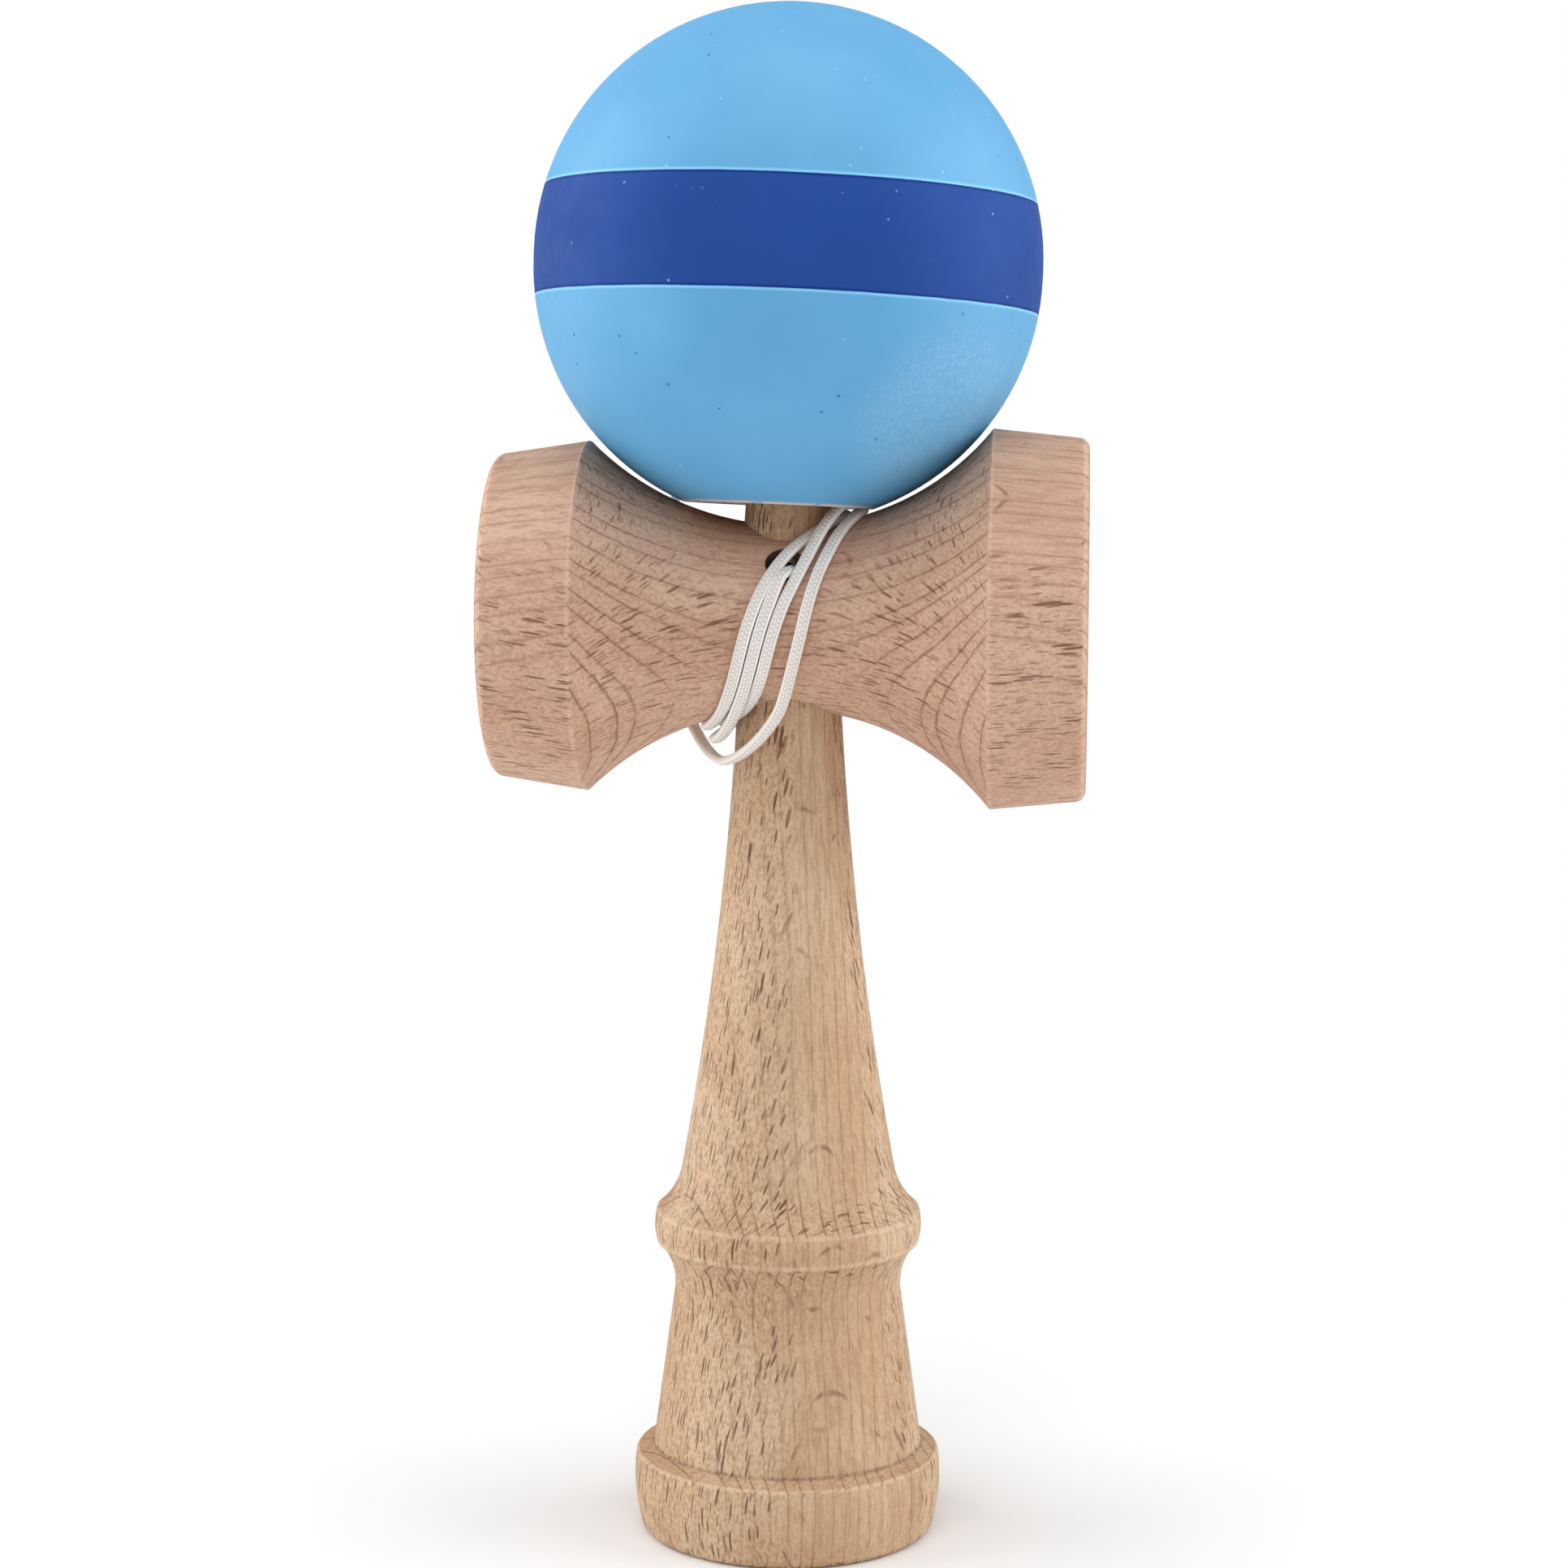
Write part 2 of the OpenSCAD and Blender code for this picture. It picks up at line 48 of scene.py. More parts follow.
# Turned corners: place along the piece's axis, and radius.
BIG_EDGE, BIG_RIM = (24, 22.5), (34.9, 21.2)
SMALL_EDGE, SMALL_RIM = (-23.9, 20.8), (-34.6, 19.0)
BASE_EDGE, LEDGE_CORNER = (9.8, 18.3), (10.65, 16.3)
RING_LOW_EDGE, RING_TOP_EDGE = (36.1, 15.8), (39.7, 15.9)

# The string's winding, as in the source. Angles are in degrees: 0 is above the crosspiece, 90 in front of it.
WRAP_START, WRAP_END, WRAP_STEP = 80, 1192, 3
WRAP_TOP_X, WRAP_LOW_X, WRAP_BOW = 7.6, -8.9, 1.8
ROUND_SHARE, STRAIGHT_SHARE, PEAK_POWER = 0.97, 0.62, 1.5
CLOSE_SHARE, FRONT_SHARE, BACK_SHARE, LIFT_SHARE = 0.5, 0.84, 1.3, 0.95
CLOSE_LIMITS, LIFT_LIMITS = (0.12, 0.78), (0.2, 0.95)
# Where a turn moves sideways, and by how many pitches.
MOVES = ((205, 290, -1), (565, 650, 1), (730, 788, 1), (1065, 1185, 2.05))
# Where the winding climbs onto its own first turn, and where it comes down.
CLIMB, DESCENT = (180, 215), (278, 322)
# The flat string lies lower than the source's round one, except at the winding's two ends.
RIDE, END_LIFT = 0.62, 0.19
LANDED, LEAVES = 110, 1160

# The rest of its course: out of the port, the loop under the small cup's side and the run up the ball's back,
# from the crosspiece's centre, then heights down the ball's top hole.
LEAD = [(0, 2.3, 5.8), (0, 0, 5.8), (0, -2.8, 5.8), (0, -5, 5.8), (0.5, -6.8, 6.2), (0.6, -8.6, 6.3),
        (0.2, -9.8, 6.1), (-0.4, -10.7, 5.5)]
HANG = [(-0.2, -9.4, -9.4), (-1.8, -8.5, -12.2), (-3.9, -6.9, -14.6), (-6.1, -4.7, -16.3),
        (-8, -1.7, -17), (-9.7, 1.4, -16.4), (-11.3, 4.6, -14.9), (-12.8, 7.9, -12.8), (-14, 11.3, -9.8),
        (-15, 14.05, -6.6), (-15.4, 15, -4.4), (-15.6, 15.35, -3)]
RISE = [(-15.96, 15.98, -0.48), (-16.3, 17, 3.7), (-16.2, 19, 9.5), (-15.3, 21.9, 16), (-13.9, 25.2, 22.5),
        (-12.2, 29, 29.5), (-10.4, 31.8, 37.5), (-8.6, 32.3, 45.5), (-6.7, 30.4, 53.5), (-5, 26.3, 61.1),
        (-3.4, 20.8, 66.7), (-2.1, 16.4, 69.5), (-0.9, 11.4, 71.6), (-0.3, 8.9, 72.1), (0.1, 6.8, 71.2),
        (0.5, 4.7, 69.6)]
TAIL = (26.6, 25.3, 22.0, 17.0, 12.1)
CURVE_STEPS, PATH_STEP, SOFT_ROUNDS = 6, 0.2, 3

# The string's section: half sizes, how square it is, and the swell of its plait.
SIDES = 16
HALF_THICK, HALF_WIDE = 0.52, 0.7
SQUARE_POWER = 0.8
PLAIT_L, PLAIT_SWELL = 1.15, 0.045
TWIST_LAG = 0.9
# Behind the handle it turns from lying on the crosspiece to lying on the ball between these heights.
BEHIND_Y, LEAVE_CROSS, ON_TOP_Z = 9, (113, 128), 160


def add_camera():
    turn = (Matrix.Rotation(CAM_YAW, 3, "Z") @ Matrix.Rotation(CAM_PITCH, 3, "X")
            @ Matrix.Rotation(CAM_ROLL, 3, "Y"))
    right, ahead, up = turn.col[0], turn.col[1], turn.col[2]
    camera = bpy.data.objects.new("camera", bpy.data.cameras.new("camera"))
    camera.data.lens = FOCAL_LENGTH / PHOTO_W * SENSOR_W
    camera.data.sensor_width = SENSOR_W
    camera.data.clip_start = NEAREST
    camera.matrix_world = Matrix.Translation(CAM_AT) @ Matrix(
        [[right[i], up[i], -ahead[i]] for i in range(3)]).to_4x4()
    scene.collection.objects.link(camera)
    scene.camera = camera


def ease(v, a, b):
    """0 before a, 1 after b, smooth between."""
    t = min(1, max(0, (v - a) / (b - a)))
    return t * t * (3 - 2 * t)


def saddle(x):
    """Radius of the crosspiece at x, on the arc from its waist to a cup's edge."""
    edge_x, edge_r = BIG_EDGE if x > 0 else SMALL_EDGE
    rise = edge_r - WAIST_R
    arc_r = (edge_x ** 2 + rise ** 2) / (2 * rise)
    return WAIST_R + arc_r - math.sqrt(arc_r * arc_r - x * x)


def strand_slot(a):
    """Sideways place of the winding at angle a, in pitches."""
    return sum(by * ease(a, start, end) for start, end, by in MOVES)


def wrap_point(a):
    """Point of the winding at angle a. Turns lie side by side in front and behind, and stack above and below."""
    s, c = math.sin(math.radians(a)), math.cos(math.radians(a))
    in_front = s > 0
    slot = strand_slot(a)
    open_share = FRONT_SHARE if in_front else BACK_SHARE
    spread = PITCH * (CLOSE_SHARE + (open_share - CLOSE_SHARE) * ease(abs(s), *CLOSE_LIMITS))
    u = math.asin(ROUND_SHARE * c) / math.asin(ROUND_SHARE)
    slant = (STRAIGHT_SHARE * u + (1 - STRAIGHT_SHARE) * u ** 3 if in_front
             else math.copysign(abs(u) ** PEAK_POWER, u))
    x = ((WRAP_TOP_X + WRAP_LOW_X) / 2 + (WRAP_TOP_X - WRAP_LOW_X) / 2 * slant
         - WRAP_BOW * max(0, s) ** 2 + spread * slot)
    stacked = LIFT_SHARE * (1 - ease(abs(s), *LIFT_LIMITS)) * (1 - min(1, abs(slot)) ** 2)
    climbed = ease(a, *CLIMB) * (1 - ease(a, *DESCENT))
    landed = ease(a, WRAP_START, LANDED) * (1 - ease(a, LEAVES, WRAP_END))
    r = saddle(x) + RIDE + END_LIFT * (1 - landed) + PITCH * (stacked * (1 - climbed) + climbed)
    return Vector((x, -r * s, CROSS.z + r * c))


def rounded(pts, steps):
    """A smooth curve through the points."""
    ends = [2 * pts[0] - pts[1]] + pts + [2 * pts[-1] - pts[-2]]
    out = []
    for i in range(len(pts) - 1):
        a, b, c, d = ends[i:i + 4]
        for j in range(steps):
            t = j / steps
            out.append((2 * b + (c - a) * t + (2 * a - 5 * b + 4 * c - d) * t ** 2
                        + (3 * b - a - 3 * c + d) * t ** 3) / 2)
    return out + [pts[-1]]


def evenly(pts, step):
    """Points one step apart along a line of points."""
    out, carry = [pts[0]], 0.0
    for a, b in zip(pts, pts[1:]):
        span = (b - a).length
        at = step - carry
        while at <= span:
            out.append(a + (b - a) * (at / span))
            at += step
        carry = span - (at - step)
    return out


def softened(pts, rounds):
    for _ in range(rounds):
        pts = [pts[0]] + [(a + 2 * b + c) / 4 for a, b, c in zip(pts, pts[1:], pts[2:])] + [pts[-1]]
    return pts


def string_path():
    controls = [CROSS + Vector(p) for p in LEAD]
    controls += [wrap_point(a) for a in range(WRAP_START, WRAP_END + 1, WRAP_STEP)]
    controls += [CROSS + Vector(p) for p in HANG + RISE]
    controls += [BALL_AT + BALL_AXIS * h for h in TAIL]
    return softened(evenly(rounded(controls, CURVE_STEPS), PATH_STEP), SOFT_ROUNDS)


def outward(p):
    """Direction off whatever the string lies on: the crosspiece, or the ball further up."""
    from_cross = Vector((0, p.y, p.z - CROSS.z))
    from_ball = p - BALL_AT
    share = ease(p.z, *LEAVE_CROSS) if p.y > BEHIND_Y else float(p.z > ON_TOP_Z)
    return (from_cross.normalized() * (1 - share) + from_ball.normalized() * share).normalized()


def squared(v):
    return math.copysign(abs(v) ** SQUARE_POWER, v)


def section(p, along, normal, run):
    """The string's outline about p, in metres. Its plait swells and narrows with the run of string so far."""
    side = along.cross(normal)
    lay = 2 * math.pi * run / PLAIT_L
    for k in range(SIDES):
        a = 2 * math.pi * k / SIDES
        swell = 1 + PLAIT_SWELL * math.sin(lay + 2 * a) * math.sin(lay - 2 * a)
        yield (p + side * (HALF_WIDE * squared(math.cos(a)) * swell)
               + normal * (HALF_THICK * squared(math.sin(a)) * swell)) * MM


def add_string(path, runs):
    """The string as a flat tube with flat ends. Its map holds the share of the way round and the run in mm."""
    verts, faces, uvs = [], [], []
    normal = outward(path[0])
    for i, p in enumerate(path):
        along = (path[min(i + 1, len(path) - 1)] - path[max(i - 1, 0)]).normalized()
        normal = normal * TWIST_LAG + outward(p) * (1 - TWIST_LAG)
        normal = (normal - along * normal.dot(along)).normalized()
        verts += section(p, along, normal, runs[i])
    last = len(path) - 1
    for i in range(last):
        here, there = i * SIDES, (i + 1) * SIDES
        for k in range(SIDES):
            n = (k + 1) % SIDES
            faces.append((here + k, here + n, there + n, there + k))
            u0, u1 = k / SIDES, (k + 1) / SIDES
            uvs += [(u0, runs[i]), (u1, runs[i]), (u1, runs[i + 1]), (u0, runs[i + 1])]
    faces.append(tuple(reversed(range(SIDES))))
    faces.append(tuple(last * SIDES + k for k in range(SIDES)))
    uvs += [(0.5, 0.0)] * (2 * SIDES)
    mesh = bpy.data.meshes.new("string")
    mesh.from_pydata(verts, [], faces)
    for loop, uv in zip(mesh.uv_layers.new(name="braid").data, uvs):
        loop.uv = uv
    for poly in mesh.polygons:
        poly.use_smooth = True
    mesh.update()
    obj = bpy.data.objects.new("string", mesh)
    scene.collection.objects.link(obj)
    return obj


class Nodes:
    """A material's nodes. Its calls take sockets or plain values, and give back sockets."""

    def __init__(self, name):
        self.mat = bpy.data.materials.new(name)
        self.mat.use_nodes = True
        self.tree = self.mat.node_tree
        self.tree.nodes.clear()
        self.out = self.node("ShaderNodeOutputMaterial")
        self.bsdf = self.node("ShaderNodeBsdfPrincipled")
        self.link(self.bsdf.outputs[0], self.out.inputs["Surface"])

    def node(self, kind, **props):
        n = self.tree.nodes.new(kind)
        for k, v in props.items():
            setattr(n, k, v)
        return n

    def link(self, a, b):
        self.tree.links.new(a, b)

    def put(self, socket, value):
        if hasattr(value, "node"):
            self.link(value, socket)
        else:
            socket.default_value = value

    def fill(self, node, values):
        for name, value in values.items():
            self.put(node.inputs[name], value)

    def math(self, op, a, b=0.0):
        n = self.node("ShaderNodeMath", operation=op)
        self.put(n.inputs[0], a)
        self.put(n.inputs[1], b)
        return n.outputs[0]

    def fold(self, op, first, *rest):
        for value in rest:
            first = self.math(op, first, value)
        return first

    def add(self, *values):
        return self.fold("ADD", *values)

    def minus(self, a, b):
        return self.math("SUBTRACT", a, b)

    def times(self, *values):
        return self.fold("MULTIPLY", *values)

    def least(self, *values):
        return self.fold("MINIMUM", *values)

    def most(self, *values):
        return self.fold("MAXIMUM", *values)

    def size(self, value):
        return self.math("ABSOLUTE", value)

    def hypot(self, a, b):
        return self.math("SQRT", self.add(self.times(a, a), self.times(b, b)))

    def weigh(self, *pairs):
        """Sum of values, each times its weight."""
        return self.add(*(self.times(value, weight) for value, weight in pairs))

    def vector(self, op, a, b=None):
        n = self.node("ShaderNodeVectorMath", operation=op)
        self.put(n.inputs[0], a)
        if b is not None:
            self.put(n.inputs[1], b)
        return n.outputs["Value" if op in ("DOT_PRODUCT", "DISTANCE", "LENGTH") else "Vector"]

    def dot(self, v, axis):
        return self.vector("DOT_PRODUCT", v, axis)

    def join(self, x, y, z):
        n = self.node("ShaderNodeCombineXYZ")
        for s, v in zip(n.inputs, (x, y, z)):
            self.put(s, v)
        return n.outputs[0]

    def split(self, v):
        n = self.node("ShaderNodeSeparateXYZ")
        self.link(v, n.inputs[0])
        return n.outputs

    def object_point(self):
        return self.node("ShaderNodeTexCoord").outputs["Object"]

    def noise(self, v, scale, detail=2.0, rough=0.5):
        n = self.node("ShaderNodeTexNoise")
        self.fill(n, {"Vector": v, "Scale": scale, "Detail": detail, "Roughness": rough})
        return n.outputs[0]

    def sway(self, v, scale, detail, by):
        """Noise about zero, with its two ends this far apart."""
        return self.times(self.minus(self.noise(v, scale, detail), 0.5), by)

    def cells(self, v, scale=1.0):
        """Cells about scattered points, with Distance to the point, its Position and a random Color."""
        n = self.node("ShaderNodeTexVoronoi")
        self.fill(n, {"Vector": v, "Scale": scale})
        return n.outputs

    def step(self, v, a, b, lo=0.0, hi=1.0):
        """lo at a, hi at b, smooth between."""
        n = self.node("ShaderNodeMapRange", interpolation_type="SMOOTHSTEP")
        self.fill(n, {"Value": v, "From Min": a, "From Max": b, "To Min": lo, "To Max": hi})
        return n.outputs[0]

    def mix(self, share, a, b):
        # the node has sockets for every kind of value; these are the ones for colours
        n = self.node("ShaderNodeMix", data_type="RGBA")
        for i, value in ((0, share), (6, a), (7, b)):
            self.put(n.inputs[i], value)
        return n.outputs[2]

    def coats(self, colour, *coats):
        """Tints laid over a colour in turn, each as (share, tint)."""
        for share, tint in coats:
            colour = self.mix(share, colour, tint)
        return colour

    def relief(self, height, strength, distance):
        n = self.node("ShaderNodeBump")
        self.fill(n, {"Strength": strength, "Distance": distance, "Height": height})
        self.link(n.outputs[0], self.bsdf.inputs["Normal"])


def srgb(r, g, b):
    """A screen colour, 0 to 255, as the linear colour that Blender takes."""
    return tuple((v / 255 / 12.92 if v <= 10 else ((v / 255 + 0.055) / 1.055) ** 2.4)
                 for v in (r, g, b)) + (1.0,)


# Beech. Lengths are in metres.
GRAIN_STRETCH = 0.4
LINE_W, LINE_CORE, LINE_THINNED, LATE_W = 0.00016, 0.00005, 0.00012, 0.0011
CUT_LINES = 0.55
# Rays by size: width, height along the grain, depth along the radius, how far out in its cell one ends and how
# far out it is full, seed.
BIG_RAYS = (0.00048, 0.0064, 0.0036, 0.26, 0.18, 0.0)
MID_RAYS = (0.00038, 0.0040, 0.0030, 0.25, 0.17, 17.3)
FINE_RAYS = (0.00026, 0.0026, 0.0020, 0.27, 0.15, 31.7)
MID_SHARE, FINE_SHARE = 0.85, 0.32
# Flakes by size: length across the grain, height and thickness, seed, strength.
FLAKES = ((0.0056, 0.0066, 0.00046, 0.3, 1.0), (0.0026, 0.0019, 0.00014, 5.7, 0.22))
FLAKE_BOW, FLAKE_SHARE, FLAKE_STRENGTH = 240, 0.4, 0.55
# Painted highlight along turned edges: width, strength and how much paler.
EDGE_HIGHLIGHT_W, EDGE_HIGHLIGHT_STRENGTH, EDGE_HIGHLIGHT_PALER = 0.00048, 0.38, 14
# Painted shade along turned corners: width and strength.
SHADE_CREASE_W, SHADE_CREASE_STRENGTH = 0.0004, 0.42
# Painted shade inside a drilled hole: tone, strength, and the depth over which it comes in.
BORE_SHADE_TONE, BORE_SHADE_STRENGTH, BORE_START = (62, 34, 24), 0.8, 0.001


class Beech(Nodes):
    """Wood in the three directions of its tree: g along the grain, s along the tree's radius, t around it."""

    def __init__(self, name, grain, radial, centre, shift):
        super().__init__(name)
        grain, radial = Vector(grain), Vector(radial).normalized()
        around = grain.cross(radial)
        self.point = self.vector("SUBTRACT", self.object_point(), centre)
        self.shift = shift
        self.g = self.add(self.dot(self.point, grain), shift)
        self.s = self.dot(self.point, radial)
        self.t = self.dot(self.point, around)
        self.along = self.join(self.times(self.g, GRAIN_STRETCH), self.s, self.t)
        # how far the surface faces each direction
        normal = self.node("ShaderNodeNewGeometry").outputs["Normal"]
        self.ended = self.size(self.dot(normal, grain))
        self.faced = self.size(self.dot(normal, radial))
        self.turned = self.add(self.size(self.dot(normal, around)), self.sway(self.along, 260, 2, 0.16))

    def drawn(self, share):
        """The point for noise that is drawn out along the grain."""
        return self.join(self.t, self.times(self.g, share), self.s)

    def growth(self, bend, layers):
        """Growth layers are uneven shells about a far axis: their lines, and the late wood beside them."""
        shell = self.add(self.minus(self.s, self.times(self.t, self.t, bend)),
                         self.sway(self.along, 60, 2, 0.0014), self.sway(self.along, 700, 2, 0.0003))
        near = self.least(*(self.size(self.minus(shell, at * MM)) for at in layers))
        near = self.add(near, self.step(self.faced, 0.8, 0.98, 0.0, LINE_THINNED))
        line = self.times(self.step(near, LINE_W, LINE_CORE),
                          self.step(self.noise(self.along, 1300), 0.3, 0.6, 0.45, 1.0))
        late = self.times(self.step(near, LATE_W, 0.0), self.step(self.faced, 0.98, 0.8, 0.4, 1.0))
        return line, late

    def flecks(self, tilt, busy):
        """Rays are thin ribbons along the grain that reach along the radius. Cut, they show as flecks."""
        tilted = self.minus(self.add(self.t, self.sway(self.along, 240, 1, 0.0006)), self.times(self.g, tilt))

        def rays(wide, tall, deep, end, full, seed):
            v = self.join(self.add(self.times(tilted, 1 / wide), seed),
                          self.times(self.g, 1 / tall), self.times(self.s, 1 / deep))
            return self.step(self.cells(v)["Distance"], end, full)

        few = self.step(self.noise(self.along, 330, 1), 0.4, 0.55, 0.3, 1.0)
        shown = self.most(self.times(rays(*BIG_RAYS), few), self.times(rays(*MID_RAYS), MID_SHARE * busy),
                          self.times(rays(*FINE_RAYS), FINE_SHARE * busy))
        return self.times(shown, self.step(self.turned, 0.97, 0.8), self.step(self.ended, 0.9, 0.5, 0.35, 1.0))

    def flakes(self):
        """Where a ray lies in the surface, its flakes show as faint, uneven arches across the grain."""
        wobble = self.sway(self.along, 420, 2, 0.0016)
        broken = self.step(self.noise(self.along, 900), 0.36, 0.62, 0.15, 1.0)

        def arches(long, tall, thick, seed, strength):
            cell = self.cells(self.join(self.add(self.times(self.s, 1 / long), seed),
                                        self.times(self.g, 1 / tall), 0))
            at, pick = self.split(cell["Position"]), self.split(cell["Color"])[0]
            ds = self.minus(self.s, self.times(self.minus(at[0], seed), long))
            dg = self.minus(self.g, self.times(at[1], tall))
            bow = self.size(self.add(dg, self.times(ds, ds, FLAKE_BOW), wobble))
            band = self.times(self.step(bow, thick, thick * 0.2), broken,
                              self.step(self.size(ds), long * 0.46, long * 0.22))
            return self.times(band, self.step(pick, 1 - FLAKE_SHARE, 1.02 - FLAKE_SHARE), strength)

        return self.times(self.most(*(arches(*size) for size in FLAKES)), self.step(self.turned, 0.88, 0.95))

    def corner_lines(self, corners, wide):
        """Broken lines along turned corners."""
        from_axis = self.hypot(self.s, self.t)
        gaps = [self.hypot(self.minus(self.g, place * MM + self.shift), self.minus(from_axis, radius * MM))
                for place, radius in corners]
        return self.times(self.step(self.least(*gaps), wide, wide * 0.3),
                          self.step(self.noise(self.along, 1100), 0.35, 0.6, 0.3, 1.0))

    def bore(self, axis, radius):
        """The wall of a hole drilled from the centre outward."""
        deep = self.dot(self.point, axis)
        away = self.vector("DISTANCE", self.point, self.vector("MULTIPLY", axis, deep))
        return self.times(self.step(away, radius * 1.03, radius * 0.99), self.step(deep, 0.0, BORE_START))


def beech(name, grain, radial, tones, layers, bend, lines, rays, tilt, speckle, busy,
          centre=(0, 0, 0), shift=0.0, edges=(), shaded_creases=(), bore=None):
    """A beech material.

    tones: wood, pale wood, dark wood and fleck. layers: places of the growth layers along the radius in mm, which
    bend. lines, rays and speckle: strength of the layers' lines, the flecks and the speckle. tilt: slope of the
    flecks. busy: share of the smaller ones. shift: start of the pattern along the grain.
    """
    m = Beech(name, grain, radial, centre, shift)
    tone, pale, dark, fleck = (srgb(*c) for c in tones)
    line, late = m.growth(bend, layers)
    flecks, flakes = m.flecks(tilt, busy), m.flakes()
    fibre = m.noise(m.drawn(0.08), 4200, 3, 0.6)
    strands = m.noise(m.drawn(0.012), 2300)
    speck = m.noise(m.drawn(0.55), 2900, 2, 0.6)
    smooth = m.step(m.turned, 0.72, 0.98, 1.0, 0.4)
    colour = m.mix(m.step(m.noise(m.along, 110, 3), 0.35, 0.68), tone, pale)
    colour = m.coats(
        colour,
        (m.times(late, lines * 0.55), dark),
        (m.step(fibre, 0.35, 0.72, 0.0, speckle * 0.6), dark),
        (m.times(m.step(speck, 0.48, 0.62, 0.0, speckle), smooth), dark),
        (m.times(m.step(speck, 0.48, 0.36, 0.0, speckle * 0.8), smooth), pale),
        (m.times(m.step(strands, 0.5, 0.64, 0.0, 0.42), m.step(m.turned, 0.6, 0.98, 0.25, 1.0)), dark),
        # a cut across the grain shows each layer more clearly
        (m.times(line, m.step(m.ended, 0.2, 0.6, lines, CUT_LINES)), fleck),
        (m.times(flecks, rays), fleck),
        (m.times(flakes, FLAKE_STRENGTH), fleck),
        # painted shade: end grain is darkened, which shades the cups' hollows; end grain is also a little darker
        # of itself
        (m.step(m.ended, 0.8, 0.97, 0.0, 0.34), dark))
    # painted highlight: a broken pale line along turned edges; painted shade: a dark line along turned corners
    if edges:
        edge_highlight = srgb(*(min(255, v + EDGE_HIGHLIGHT_PALER) for v in tones[1]))
        colour = m.mix(m.times(m.corner_lines(edges, EDGE_HIGHLIGHT_W), EDGE_HIGHLIGHT_STRENGTH), colour, edge_highlight)
    if shaded_creases:
        colour = m.mix(m.times(m.corner_lines(shaded_creases, SHADE_CREASE_W), SHADE_CREASE_STRENGTH), colour, fleck)
    # painted shade: a drilled hole is darkened inside, on its rough wall
    if bore:
        colour = m.mix(m.times(m.bore(*bore), BORE_SHADE_STRENGTH), colour, srgb(*BORE_SHADE_TONE))
    m.fill(m.bsdf, {"Base Color": colour, "Roughness": m.step(fibre, 0.2, 0.8, 0.56, 0.7),
                    "Specular IOR Level": 0.26})
    m.relief(m.weigh((fibre, 0.4), (speck, 0.7), (flecks, -1.2), (line, -0.4), (flakes, -0.5)), 0.7, 0.00020)
    return m


# Ball paint. Heights run along the ball's axis from its centre, in metres.
STRIPE_LOW, STRIPE_TOP, STRIPE_SOFT = -0.0048, 0.0080, 0.00005
RIDGE_W, RIDGE_CORE = 0.00042, 0.00014
# Where the painted reflection, with its scuffs, lies on the ball.
GLINT_AND_SCUFF_TOWARDS = (0.62, -0.56, -0.55)
LIP_R, LIP_H = (0.0121, 0.0115), (-0.020, -0.026)
MOUTH_H, MOUTH_R, HOLE_TAPER = -0.0275, (0.01062, 0.01052), -0.09
SINK_H = (0.0285, 0.028)


